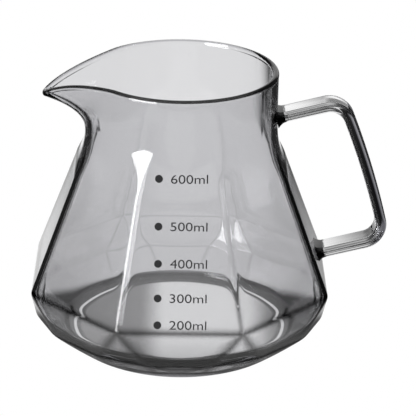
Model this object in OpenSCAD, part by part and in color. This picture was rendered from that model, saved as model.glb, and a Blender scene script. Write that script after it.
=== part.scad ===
// Glass serving carafe: an eight-sided blown body with a round neck and a drawn spout,
// a bent solid glass handle fused on at two welds, and a printed volume scale.
// The base stands on z = 0, the spout points to -X and the handle to +X.

/* [Body] */
// Height from the table to the top of the rim
total_h = 113.4; // [98:0.1:135]
// Width across the flats at the widest level, the girdle
girdle_w = 118.6; // [106:0.1:131]
// Height of the girdle
girdle_z = 26.5; // [22:0.1:31]
// Width across the flats at the lower break of the facets
break_w = 115.4; // [103:0.1:118]
// Height of the lower break
break_z = 11.6; // [9:0.1:15]
// Width across the flats where their planes meet the table
foot_w = 91.9; // [86:0.1:100]
// Width across the eight corner facets where their planes meet the table
foot_corner_w = 90.6; // [85:0.1:98]
// Diameter of the flat that the base stands on
base_d = 86; // [76:0.1:90]
// Radius of the rounded heel
heel_r = 3; // [1.5:0.1:5]
// Thickness of the side walls
wall = 2.4; // [1.8:0.1:3.2]
// Thickness of the floor
floor_t = 6; // [4:0.1:8]

/* [Neck] */
// Outer diameter of the neck
neck_d = 76; // [66:0.1:84]
// Length of the round neck, from the rim down to the shoulder
neck_h = 14.5; // [10:0.1:20]
// Radius of the hollow curve from the neck to the corners of the body
shoulder_r = 4.4; // [4.2:0.1:8]
// Drop from the rim to where the leaning facets turn upright
facet_drop = 30; // [26:0.1:34]
// Radius of the bend where the facets turn upright
facet_bend_r = 85; // [40:1:90]
// Diameter of the fire-polished bead along the rim and the lip
rim_bead_d = 2.6; // [2.5:0.1:3.6]

/* [Spout] */
// Reach of the tip of the spout beyond the neck
spout_reach = 16.8; // [10:0.1:20]
// Drop of the tip below the rim
spout_dip = 9.4; // [5:0.1:12]
// Depth on the neck at which the spout leaves it, below the rim
spout_root_drop = 24; // [20:0.1:27]
// Angle that the mouth of the spout takes out of the neck
spout_angle = 88; // [70:1:96]

/* [Handle] */
// Width of the handle's bar, across the hand
handle_w = 10.9; // [8:0.1:13]
// Thickness of the handle's bar
handle_t = 4.3; // [3.2:0.1:5.5]
// Rounding of the bar's edges
handle_edge_r = 1.3; // [0.8:0.1:1.5]
// Reach of the upper bend beyond the neck
handle_top_reach = 25.6; // [21:0.1:32]
// Drop of the upper bend below the rim
handle_top_drop = 12.2; // [8:0.1:15]
// Reach of the lower bend beyond the girdle's flat
handle_low_reach = 23.4; // [20:0.1:30]
// Height of the lower bend above the girdle
handle_low_rise = 17; // [14:0.1:22]
// Radius of both bends, on the bar's centre line
handle_bend_r = 8.3; // [6:0.1:10]
// Outward bow of the grip at its middle
grip_bow = 1; // [0.4:0.1:2]
// Upward slope of the upper arm
arm_slope_top = 14.6; // [8:0.1:18]
// Upward slope of the lower arm
arm_slope_low = 14.6; // [10:0.1:20]
// Length of each weld, from the glass wall to the bar
weld_len = 2.8; // [2:0.1:4]
// Spread of each weld round the bar, on the wall
weld_spread = 1.6; // [0.8:0.1:2.4]

/* [Volume scale] */
// Diameter of each printed dot
dot_d = 3; // [2:0.1:4]
// Thickness of the printed enamel
print_t = 0.15; // [0.1:0.05:0.3]
// Distance of the dots from the middle of the front facet, towards the spout
dot_offset = 8.6; // [6:0.1:11]

/* [Hidden] */

sides = 8;
side_turn = 360 / sides;
corner = side_turn / 2;
overrun = 1;
round_fn = 120;
bend_fn = 72;
edge_fn = 32;
bend_steps = 8;
heel_steps = 4;
edge_steps = 4;

// Half sizes of the body
neck_r = neck_d / 2;
bore_r = neck_r - wall;
girdle_r = girdle_w / 2;
break_r = break_w / 2;
foot_r = foot_w / 2;
foot_corner_r = foot_corner_w / 2;
base_r = base_d / 2;
blank_r = max(girdle_r, break_r) / cos(corner) + overrun;
// The upright flats stand just clear of the round neck
flat_clear = 0.2;
upright_r = neck_r + flat_clear;
neck_z = total_h - neck_h;
facet_top_z = total_h - facet_drop;
facet_lean = (girdle_r - upright_r) / (facet_top_z - girdle_z);
facet_lean_angle = atan(facet_lean);
// Share of the break's width that each flat keeps there, as the half angle of its edge
break_half_angle = 12.6;
corner_break_r = break_r / cos(break_half_angle) * cos(corner - break_half_angle);
// The corner facets end a little under the girdle's corners
corner_gap = 0.3;
girdle_corner_r = girdle_r / cos(corner);
corner_lean = (girdle_corner_r - corner_break_r) / (girdle_z - corner_gap - break_z);

// Heel: above its rounding the blank widens as a cone
heel_angle = 37;
heel_slope = tan(heel_angle);
heel_x = base_r + heel_r * sin(heel_angle);
heel_z = heel_r * (1 - cos(heel_angle));
// The hollow curve of the shoulder turns by this much
shoulder_angle = 84;

// Inside
cavity_floor_r = base_r;
cavity_fillet_r = 3;
cavity_heel_z = break_z + wall;
// The glass is thicker at the heel, by this share of the floor
heel_floor_share = 0.7;
heel_cone_r = heel_x + (cavity_heel_z - heel_z) / heel_slope;
cavity_heel_r = min(break_r - wall / 2, heel_cone_r - wall - floor_t * heel_floor_share);
// The inside rounds the corners off by this much
corner_soft = 0.9;
cavity_corner_r = girdle_corner_r - wall / cos(corner) - corner_soft;

// Bead
bead_r = rim_bead_d / 2;
bead_path_r = neck_r - wall / 2;
bead_z = total_h - bead_r;
bead_fn = 12;
bead_step = 5;

// Lip of the spout: one half is a cubic curve in reach, half width and drop
lip_angle = spout_angle / 2;
lip_tip_x = neck_r + spout_reach - bead_r;
lip_start = [bead_path_r * cos(lip_angle), bead_path_r * sin(lip_angle), 0];
lip_flow_shares = [0.84, 0.83, 0.3];
lip_nose_shares = [0.19, 1.08];
lip_flow = [lip_start.x + (lip_tip_x - lip_start.x) * lip_flow_shares.x,
            lip_start.y * (1 - lip_flow_shares.y), spout_dip * lip_flow_shares.z];
lip_nose = [lip_tip_x, lip_start.y * lip_nose_shares.x, spout_dip * lip_nose_shares.y];
lip_tip = [lip_tip_x, 0, spout_dip];
lip_steps = 12;
trough_steps = 14;
// Half width that the hollow keeps at the tip, and the share of the wall that its end takes
tip_half = 0.12;
tip_share = 0.6;

// Handle corners and directions, in the XZ plane
top_corner = [neck_r + handle_top_reach, total_h - handle_top_drop];
low_corner = [girdle_r + handle_low_reach, girdle_z + handle_low_rise];
grip_run = low_corner - top_corner;
grip_angle = atan2(grip_run.y, grip_run.x);
grip_half = norm(grip_run) / 2;
bow_angle = atan(2 * grip_bow / grip_half);
top_turn = arm_slope_top - grip_angle - bow_angle;
low_turn = grip_angle - bow_angle - (arm_slope_low - 180);
top_setback = handle_bend_r * tan(top_turn / 2);
low_setback = handle_bend_r * tan(low_turn / 2);
// Where the arms' centre lines meet the glass
top_seat = [neck_r, top_corner.y - (top_corner.x - neck_r) * tan(arm_slope_top)];
low_seat_z = (low_corner.y - (low_corner.x - girdle_r - facet_lean * girdle_z) * tan(arm_slope_low))
             / (1 + facet_lean * tan(arm_slope_low));
low_seat = [facet_r(low_seat_z), low_seat_z];

// Heights of the five dots, as shares of the total height
mark_height_shares = [0.2615, 0.3466, 0.4564, 0.5745, 0.7263];

// Radius of the leaning facets at a height above the girdle
function facet_r(z) = girdle_r - (z - girdle_z) * facet_lean;

// Overlap of each straight run with the bend that it meets
bar_lap = 0.4;

function unit(v) = v / norm(v);
function along(angle) = [cos(angle), sin(angle)];

// Points along an arc, both ends with it
function arc(centre, radius, from, to, steps) =
    [for (i = [0:steps]) centre + radius * along(from + (to - from) * i / steps)];

// A closed outline from its right side, taken from the bottom up
function both(side) = concat(side, [for (i = [len(side) - 1:-1:0]) [-side[i].x, side[i].y]]);

// A point of a cubic curve with four controls
function cubic(a, b, c, d, t) =
    a * pow(1 - t, 3) + b * 3 * t * pow(1 - t, 2) + c * 3 * t * t * (1 - t) + d * pow(t, 3);

// The lip's centre line on one side, as reach, half width and drop
function lip(t) = cubic(lip_start, lip_flow, lip_nose, lip_tip, t);

// Faces of a solid that runs through rings with the same number of points
function skin_faces(rings, points) = concat(
    [[for (i = [0:points - 1]) i]],
    [for (r = [0:rings - 2], i = [0:points - 1], half = [0, 1])
        let (a = r * points + i, b = r * points + (i + 1) % points)
        half == 0 ? [b, a, b + points] : [b + points, a, a + points]],
    [[for (i = [0:points - 1]) rings * points - 1 - i]]);

// Faces of a tube that closes on itself
function loop_faces(rings, points) =
    [for (r = [0:rings - 1], i = [0:points - 1], half = [0, 1])
        let (a = r * points + i, b = r * points + (i + 1) % points,
             c = ((r + 1) % rings) * points + i, d = ((r + 1) % rings) * points + (i + 1) % points)
        half == 0 ? [a, b, d] : [a, d, c]];

// Underside of the spout at a reach: it sweeps from its root on the neck to the tip
root_flow_share = 0.38;
// Share of the bead that the tip is deep
tip_depth_share = 0.8;
function keel_drop(x) =
    let (share = max(0, min(1, (x - neck_r) / (lip_tip_x + bead_r - neck_r))),
         tip_drop = spout_dip + rim_bead_d * tip_depth_share)
    spout_root_drop + (tip_drop - spout_root_drop) * pow(share, root_flow_share);

// One ring of the spout's outside or inside, across the spout at a point of the lip
function trough_ring(t, inset, lift, rise) =
    let (p = lip(t), half = max(p.y + wall / 2 - inset, tip_half),
         top = total_h - p.z - bead_r, x = -(p.x + (t == 1 ? tip_share * (wall / 2 - inset) : 0)),
         low = min(total_h - keel_drop(-x) + lift, top - bead_r / 2))
    concat([for (i = [0:trough_steps]) let (a = 180 * i / trough_steps)
                [x, half * cos(a), top - (top - low) * sin(a)]],
           [[x, -half, top + rise], [x, half, top + rise]]);

// Outline of two opposite flats, seen from the side, with the wall taken off by an inset
module flats_outline(inset) {
    bend_z = facet_top_z + facet_bend_r * tan(facet_lean_angle / 2);
    polygon(both(concat([
        [foot_r - inset - (break_r - foot_r) * overrun / break_z, -overrun],
        [break_r - inset, break_z],
        [girdle_r - inset, girdle_z]],
        arc([upright_r - inset + facet_bend_r, bend_z], facet_bend_r,
            180 + facet_lean_angle, 180, bend_steps),
        [[upright_r - inset, total_h + overrun]])));
}

// Outline of two opposite corner facets, which cut the body only below the girdle
module corner_outline(inset) {
    top_z = girdle_z + facet_drop;
    top_r = corner_break_r + corner_lean * (top_z - break_z);
    polygon(both([
        [foot_corner_r - inset - (corner_break_r - foot_corner_r) * overrun / break_z, -overrun],
        [corner_break_r - inset, break_z],
        [top_r - inset, top_z],
        [top_r - inset, total_h + overrun]]));
}

// The common space of an outline turned to four directions
module cage(first_turn) {
    intersection_for (i = [0:sides / 2 - 1])
        rotate([90, 0, first_turn + i * side_turn])
            linear_extrude(4 * blank_r, center = true) children();
}

// Turned blank of the outside: base, heel, widest part, hollow shoulder and neck
module outer_blank() {
    rotate_extrude($fn = round_fn)
        polygon(concat(
            [[0, 0]],
            arc([base_r, heel_r], heel_r, -90, heel_angle - 90, heel_steps),
            [[blank_r, heel_z + (blank_r - heel_x) * heel_slope],
            [blank_r, neck_z - shoulder_r * sin(shoulder_angle)]],
            arc([neck_r + shoulder_r, neck_z], shoulder_r, 180 + shoulder_angle, 180, bend_steps),
            [[neck_r, bead_z], [0, bead_z]]));
}

// Outside of the body without its spout
module body_outside() {
    intersection() {
        outer_blank();
        cage(0) flats_outline(0);
        cage(corner) corner_outline(0);
    }
}

// Turned blank of the inside, with its corners rounded off
module cavity_blank() {
    upright_corner_r = (upright_r - wall) / cos(corner) - corner_soft;
    rotate_extrude($fn = round_fn)
        polygon(concat(
            [[0, floor_t]],
            arc([cavity_floor_r, floor_t + cavity_fillet_r], cavity_fillet_r,
                -90, heel_angle - 90, heel_steps),
            [[cavity_heel_r, cavity_heel_z],
            [cavity_corner_r, girdle_z],
            [upright_corner_r, facet_top_z],
            [upright_corner_r, neck_z - shoulder_r * sin(shoulder_angle)],
            [bore_r, neck_z],
            [bore_r, total_h + overrun], [0, total_h + overrun]]));
}

module cavity() {
    intersection() {
        cavity_blank();
        cage(0) flats_outline(wall);
        cage(corner) corner_outline(wall);
    }
}

// A solid through the spout's rings: the outside with no inset, the hollow with the wall as inset
module trough(inset, lift, rise) {
    rings = [for (s = [0:lip_steps]) trough_ring(s / lip_steps, inset, lift, rise)];
    points = [for (ring = rings) for (p = ring) p];
    polyhedron(points, skin_faces(lip_steps + 1, trough_steps + 3), convexity = 4);
}

// Fire-polished bead: one closed tube round the rim and along the lip of the spout
module rim_bead() {
    arc_steps = floor((360 - spout_angle) / bead_step);
    half_lip = [for (s = [lip_steps:-1:1]) let (p = lip(s / lip_steps)) [-p.x, p.y, bead_z - p.z]];
    arc = [for (i = [0:arc_steps]) let (a = 180 - lip_angle - (360 - spout_angle) * i / arc_steps)
        [bead_path_r * cos(a), bead_path_r * sin(a), bead_z]];
    far_lip = [for (s = [1:lip_steps - 1]) let (p = lip(s / lip_steps)) [-p.x, -p.y, bead_z - p.z]];
    path = concat(half_lip, arc, far_lip);
    count = len(path);
    points = [for (i = [0:count - 1])
        let (run = unit(path[(i + 1) % count] - path[(i + count - 1) % count]),
             outward = unit(cross(run, [0, 0, 1])), upward = cross(outward, run))
        for (j = [0:bead_fn - 1]) let (a = 360 * j / bead_fn)
            path[i] + (outward * cos(a) + upward * sin(a)) * bead_r];
    polyhedron(points, loop_faces(count, bead_fn), convexity = 6);
}

module glass_body() {
    color([0.42, 0.42, 0.44, 0.55]) {
        difference() {
            union() {
                body_outside();
                trough(0, 0, 0);
            }
            cavity();
            trough(wall, wall, neck_h);
        }
        rim_bead();
    }
}

// Rounded section of the handle's bar, thickness along x and width along y
module bar_section() {
    inner_t = handle_t / 2 - handle_edge_r;
    inner_w = handle_w / 2 - handle_edge_r;
    polygon([for (q = [0:3], p = arc([inner_t * (q == 0 || q == 3 ? 1 : -1), inner_w * (q < 2 ? 1 : -1)],
                                     handle_edge_r, 90 * q, 90 * (q + 1), edge_steps)) p]);
}

// A straight run of the bar, from one point of the XZ plane to another
module bar(from, to) {
    run = to - from;
    translate([from.x, 0, from.y]) rotate([0, 90 - atan2(run.y, run.x), 0])
        linear_extrude(norm(run)) bar_section();
}

// A bend of the bar about a centre, from one direction to another
module bar_bend(centre, radius, from_angle, to_angle) {
    translate([centre.x, 0, centre.y]) rotate([90, 0, 0]) rotate([0, 0, from_angle])
        rotate_extrude(angle = to_angle - from_angle, $fn = bend_fn)
            translate([radius, 0]) bar_section();
}

module handle() {
    top_dir = along(arm_slope_top);
    low_dir = along(arm_slope_low);
    grip_top_dir = along(grip_angle + bow_angle);
    grip_low_dir = along(grip_angle - bow_angle);
    // The grip is one wide arc, tangent to two short runs that meet beyond it in its apex
    apex_run = grip_half / cos(bow_angle);
    apex = top_corner + grip_top_dir * apex_run;
    arc_run = apex_run - max(top_setback, low_setback) - bar_lap;
    grip_r = arc_run / tan(bow_angle);
    top_bend = top_corner - top_dir * top_setback + along(arm_slope_top - 90) * handle_bend_r;
    low_bend = low_corner - low_dir * low_setback + along(arm_slope_low + 90) * handle_bend_r;
    color([0.30, 0.30, 0.32, 0.7]) {
        bar(top_seat + top_dir * weld_len, top_corner - top_dir * (top_setback - bar_lap));
        bar_bend(top_bend, handle_bend_r, grip_angle + bow_angle + 90, arm_slope_top + 90);
        bar(top_corner + grip_top_dir * (top_setback - bar_lap), apex - grip_top_dir * (arc_run - bar_lap));
        bar_bend(apex + along(grip_angle - 90) * grip_r / cos(bow_angle), grip_r,
                 grip_angle - bow_angle + 90, grip_angle + bow_angle + 90);
        bar(apex + grip_low_dir * (arc_run - bar_lap), low_corner - grip_low_dir * (low_setback - bar_lap));
        bar_bend(low_bend, handle_bend_r, arm_slope_low - 90, grip_angle - bow_angle + 90);
        bar(low_seat + low_dir * weld_len, low_corner - low_dir * (low_setback - bar_lap));
    }
}

// Fused glass between the wall and the end of one arm: it spreads from the bar's section
module weld(seat, slope) {
    spread = 1 + 2 * weld_spread / handle_t;
    widen = 1 + 2 * weld_spread / handle_w;
    difference() {
        translate([seat.x, 0, seat.y]) rotate([0, 90 - slope, 0]) hull() {
            translate([0, 0, weld_len - print_t]) linear_extrude(print_t) bar_section();
            translate([0, 0, -wall / 2]) linear_extrude(wall / 2) scale([spread, widen]) bar_section();
        }
        body_outside();
    }
}

module upper_weld() {
    color([0.10, 0.10, 0.11]) weld(top_seat, arm_slope_top);
}

module lower_weld() {
    color([0.10, 0.10, 0.11]) weld(low_seat, arm_slope_low);
}

// Enamel dots of the volume scale, printed on the front facet
module volume_dots() {
    color([0.16, 0.16, 0.17])
        difference() {
            intersection() {
                for (share = mark_height_shares)
                    translate([-dot_offset, 0, total_h * share]) rotate([90, 0, 0])
                        cylinder(h = blank_r, d = dot_d, $fn = edge_fn);
                rotate([90, 0, 90]) linear_extrude(4 * dot_offset, center = true) flats_outline(-print_t);
            }
            rotate([90, 0, 90]) linear_extrude(5 * dot_offset, center = true) flats_outline(0);
        }
}

glass_body();
handle();
upper_weld();
lower_weld();
volume_dots();
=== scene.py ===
"""Looks of the smoky glass carafe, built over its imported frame.

The blown body, the bar of the handle, its two welds and the printed volume scale are
modelled here at the places that the frame gives, dressed in glass and enamel, and set on
a pale floor under soft studio light. Sizes inside the classes are in millimetres, and
every mesh is written in metres.
"""

import logging
import math
from collections.abc import Callable
from dataclasses import dataclass
from enum import Enum

import bpy
import numpy as np
from mathutils import Matrix, Vector


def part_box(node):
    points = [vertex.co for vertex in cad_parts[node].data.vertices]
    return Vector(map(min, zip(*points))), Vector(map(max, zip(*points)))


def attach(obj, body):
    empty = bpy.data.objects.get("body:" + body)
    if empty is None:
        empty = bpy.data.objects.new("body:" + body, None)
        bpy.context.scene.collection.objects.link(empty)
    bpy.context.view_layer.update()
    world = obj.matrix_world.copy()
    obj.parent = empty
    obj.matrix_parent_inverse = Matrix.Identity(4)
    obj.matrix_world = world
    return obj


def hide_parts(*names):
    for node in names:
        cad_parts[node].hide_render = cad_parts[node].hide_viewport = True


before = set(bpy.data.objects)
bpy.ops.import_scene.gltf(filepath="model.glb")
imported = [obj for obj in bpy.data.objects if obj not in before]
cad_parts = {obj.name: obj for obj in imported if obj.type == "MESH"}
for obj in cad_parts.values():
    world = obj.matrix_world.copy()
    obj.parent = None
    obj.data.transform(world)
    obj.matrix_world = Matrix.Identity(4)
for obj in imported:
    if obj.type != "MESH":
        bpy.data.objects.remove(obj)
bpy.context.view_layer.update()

LOG = logging.getLogger("carafe")
MM = 0.001
BODY = "root"
# Halvings of the span in which a surface is searched, enough for any float.
HALVINGS = 48
# Points of a sheet closer than this, in metres, are one point.
MERGE_M = 1e-6
# Least length that a vector is divided by.
LEAST_LENGTH = 1e-9
# Share of smoke of a plain smoked wall, between clear glass at 0 and a painted dark edge at 1.
SMOKED = 0.5
# Point attribute of smoke, and of painted shade above the plain smoked level.
SMOKE_AND_SHADE_MARK = "smoke_and_painted_shade"
WHITE = (1.0, 1.0, 1.0, 1.0)

# Signed distance in mm from a surface, of radius, angle and height.
Gap = Callable[[np.ndarray, np.ndarray, np.ndarray], np.ndarray]


class Slot(Enum):
    """Material slots, one for each finish that the pieces wear."""

    SMOKED = "smoked_glass"
    BAR = "handle_glass"
    WELD = "weld_glass"
    ENAMEL = "enamel"


def linear(hex_colour: str, alpha: float = 1.0) -> tuple[float, float, float, float]:
    """Turn an sRGB hex colour to linear values.

    Args:
        hex_colour: six hex digits with a hash before them.
        alpha: the fourth value.

    Returns:
        Red, green, blue and alpha, linear.
    """
    values = [int(hex_colour[i:i + 2], 16) / 255 for i in (1, 3, 5)]
    low, split, lift, power = 12.92, 0.04045, 0.055, 2.4
    red, green, blue = (
        v / low if v <= split else ((v + lift) / (1 + lift)) ** power for v in values
    )
    return red, green, blue, alpha


def smooth(share: np.ndarray | float) -> np.ndarray | float:
    """Return an eased share, level at 0 and at 1."""
    share = np.clip(share, 0.0, 1.0)
    return share * share * (3.0 - 2.0 * share)


def ramp_up(value: np.ndarray | float, start: float, end: float) -> np.ndarray | float:
    """Return how far a value has gone from a start to an end, eased."""
    return smooth((value - start) / (end - start))


def spread(stops: list[float], counts: tuple[int, ...]) -> np.ndarray:
    """Place values between stops, closer together near each stop.

    Args:
        stops: the values that must be met, in order.
        counts: how many steps lie between each stop and the next.

    Returns:
        All the values, with every stop once.
    """
    values = [stops[0]]
    for low, high, count in zip(stops, stops[1:], counts):
        shares = (1 - np.cos(np.pi * np.arange(1, count + 1) / count)) / 2
        values.extend(low + (high - low) * shares)
    return np.array(values)


def soft_most(values: list[np.ndarray], softness: np.ndarray | float) -> np.ndarray:
    """Return the largest of several distances, with the change between them rounded.

    Args:
        values: distances in mm, each positive outside its surface.
        softness: how far the rounding reaches, in mm.

    Returns:
        The blended distance.
    """
    stacked = np.stack([v / softness for v in values])
    top = stacked.max(axis=0)
    return (top + np.log(np.exp(stacked - top).sum(axis=0))) * softness


def add_node(
    tree: bpy.types.NodeTree, kind: str, links: dict | None = None, **settings: object
) -> bpy.types.Node:
    """Add one node with its settings and links.

    Args:
        tree: the node tree.
        kind: the node's type name.
        links: input name or number to the socket that feeds it, or to a plain value.
        **settings: the node's own properties.

    Returns:
        The new node.
    """
    node = tree.nodes.new(kind)
    for name, value in settings.items():
        setattr(node, name, value)
    for key, value in (links or {}).items():
        if isinstance(value, bpy.types.NodeSocket):
            tree.links.new(value, node.inputs[key])
        else:
            node.inputs[key].default_value = value
    return node


def bare_material(name: str) -> tuple[bpy.types.Material, bpy.types.NodeTree]:
    """Make a material with nothing in its node tree.

    Args:
        name: the material's name.

    Returns:
        The material and its node tree.
    """
    material = bpy.data.materials.new(name)
    material.use_nodes = True
    material.node_tree.nodes.clear()
    return material, material.node_tree


def read_points(piece: bpy.types.Object) -> np.ndarray:
    """Read a mesh's points.

    Args:
        piece: the mesh object.

    Returns:
        Rows of x, y, z, in the mesh's own units.
    """
    flat = np.zeros(len(piece.data.vertices) * 3)
    piece.data.vertices.foreach_get("co", flat)
    return flat.reshape(-1, 3)


def write_points(piece: bpy.types.Object, points: np.ndarray) -> None:
    """Move a mesh's points to the given places."""
    piece.data.vertices.foreach_set("co", points.ravel())
    piece.data.update()


def deselect() -> None:
    """Leave nothing selected, because the loaded nodes start selected."""
    for thing in bpy.context.selected_objects:
        thing.select_set(False)


def rolled_sheet(
    name: str, points: np.ndarray, marks: np.ndarray | None = None
) -> bpy.types.Object:
    """Roll a sheet of quads to given places and close its seam and poles.

    Args:
        name: the piece's name.
        points: rows, columns and x, y, z in mm. The last column meets the first.
        marks: rows by columns of smoke and painted shade at each point: 0 clear, 0.5 smoked, 1 a
            painted dark edge.

    Returns:
        The piece, smooth shaded, with its faces outwards.
    """
    rows, columns = points.shape[0], points.shape[1] + 1
    deselect()
    bpy.ops.mesh.primitive_grid_add(x_subdivisions=columns - 1, y_subdivisions=rows - 1, size=2)
    piece = bpy.context.object
    piece.name = name
    piece.data.name = name
    grid = read_points(piece)
    column = np.rint((grid[:, 0] + 1) / 2 * (columns - 1)).astype(int) % points.shape[1]
    row = np.rint((grid[:, 1] + 1) / 2 * (rows - 1)).astype(int)
    if marks is not None:
        layer = piece.data.attributes.new(SMOKE_AND_SHADE_MARK, "FLOAT", "POINT")
        layer.data.foreach_set("value", marks[row, column])
    write_points(piece, points[row, column] * MM)
    bpy.ops.object.mode_set(mode="EDIT")
    bpy.ops.mesh.select_all(action="SELECT")
    bpy.ops.mesh.remove_doubles(threshold=MERGE_M)
    bpy.ops.mesh.normals_make_consistent(inside=False)
    bpy.ops.object.mode_set(mode="OBJECT")
    bpy.ops.object.shade_smooth()
    return piece


def apply_modifier(piece: bpy.types.Object, kind: str, **settings: object) -> None:
    """Add a modifier to a piece and apply it.

    Args:
        piece: the mesh object.
        kind: the modifier's type.
        **settings: its properties.
    """
    deselect()
    bpy.context.view_layer.objects.active = piece
    piece.select_set(True)
    bpy.ops.object.modifier_add(type=kind)
    modifier = piece.modifiers[-1]
    for name, value in settings.items():
        setattr(modifier, name, value)
    bpy.ops.object.modifier_apply(modifier=modifier.name)


def even_shading(piece: bpy.types.Object) -> None:
    """Weight the shading by face area and angle, so that flats look flat up to their edges."""
    apply_modifier(piece, "WEIGHTED_NORMAL", mode="FACE_AREA_WITH_ANGLE", keep_sharp=True)


def hand_over(
    piece: bpy.types.Object, slot: Slot, material: bpy.types.Material, *nodes: str
) -> None:
    """Dress a piece, let it ride on the body and stand for its nodes.

    Args:
        piece: the finished mesh object.
        slot: the material slot; not used.
        material: the piece's finish.
        *nodes: the frame's nodes that the piece stands for.
    """
    piece.data.materials.clear()
    piece.data.materials.append(material)
    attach(piece, BODY)
    if nodes:
        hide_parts(*nodes)
    faces = len(piece.data.polygons)
    LOG.info("%s: %d faces, stands for %s", piece.name, faces, nodes or "nothing")


@dataclass(frozen=True)
class Glass:
    """Clear or smoked borosilicate glass, blown or pressed and fire polished.

    Fire polishing leaves it free of grain, so it shows only its bends, its edges and the
    colour that grows with the length of the way through it. A metre of glass dims the light
    by density times what the tint lacks of white. Where the piece has marks, its surface
    goes from clear over the film's colour to the edge's colour as they rise; marks above
    the film's level are painted shade.
    """

    name: str
    tint: str
    density: float
    film: str = "#ffffff"
    # Colour of painted shade, reached where the marks rise to 1.
    edge: str | None = None
    ior: float = 1.47
    roughness: float = 0.0

    def material(self) -> bpy.types.Material:
        """Return the glass as a node material."""
        material, tree = bare_material(self.name)
        surface = add_node(
            tree, "ShaderNodeBsdfPrincipled",
            {"Base Color": linear(self.film), "Roughness": self.roughness, "IOR": self.ior,
             "Transmission Weight": 1.0},
        )
        # Marks above the film's level blend towards the edge colour: painted shade.
        if self.edge:
            mark = add_node(tree, "ShaderNodeAttribute", attribute_name=SMOKE_AND_SHADE_MARK)
            blend = add_node(tree, "ShaderNodeValToRGB", {0: mark.outputs["Fac"]})
            stops = blend.color_ramp.elements
            stops[0].color = WHITE
            stops[1].color = linear(self.edge)
            stops.new(SMOKED).color = linear(self.film)
            tree.links.new(blend.outputs["Color"], surface.inputs["Base Color"])
        smoke_and_painted_shade = add_node(
            tree, "ShaderNodeVolumeAbsorption",
            {"Color": linear(self.tint), "Density": self.density},
        )
        add_node(
            tree, "ShaderNodeOutputMaterial",
            {"Surface": surface.outputs["BSDF"], "Volume": smoke_and_painted_shade.outputs["Volume"]},
        )
        return material


@dataclass(frozen=True)
class Enamel:
    """Ceramic enamel, screen printed on the glass and fired: matt, dark and slightly grainy."""

    name: str = "fired_enamel"
    colour: str = "#2a2a2c"
    grain: str = "#333335"
    grain_mm: float = 0.35
    grain_detail: float = 2.0
    roughness: float = 0.6

    def material(self) -> bpy.types.Material:
        """Return the enamel as a node material, its grain drawn coarse enough to show."""
        material, tree = bare_material(self.name)
        place = add_node(tree, "ShaderNodeTexCoord")
        specks = add_node(
            tree, "ShaderNodeTexNoise",
            {"Vector": place.outputs["Object"], "Scale": 1 / (self.grain_mm * MM),
             "Detail": self.grain_detail},
        )
        blend = add_node(
            tree, "ShaderNodeMix",
            {0: specks.outputs["Fac"], 6: linear(self.colour), 7: linear(self.grain)},
            data_type="RGBA",
        )
        surface = add_node(
            tree, "ShaderNodeBsdfPrincipled",
            {"Base Color": blend.outputs[2], "Roughness": self.roughness},
        )
        add_node(tree, "ShaderNodeOutputMaterial", {"Surface": surface.outputs["BSDF"]})
        return material


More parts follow.
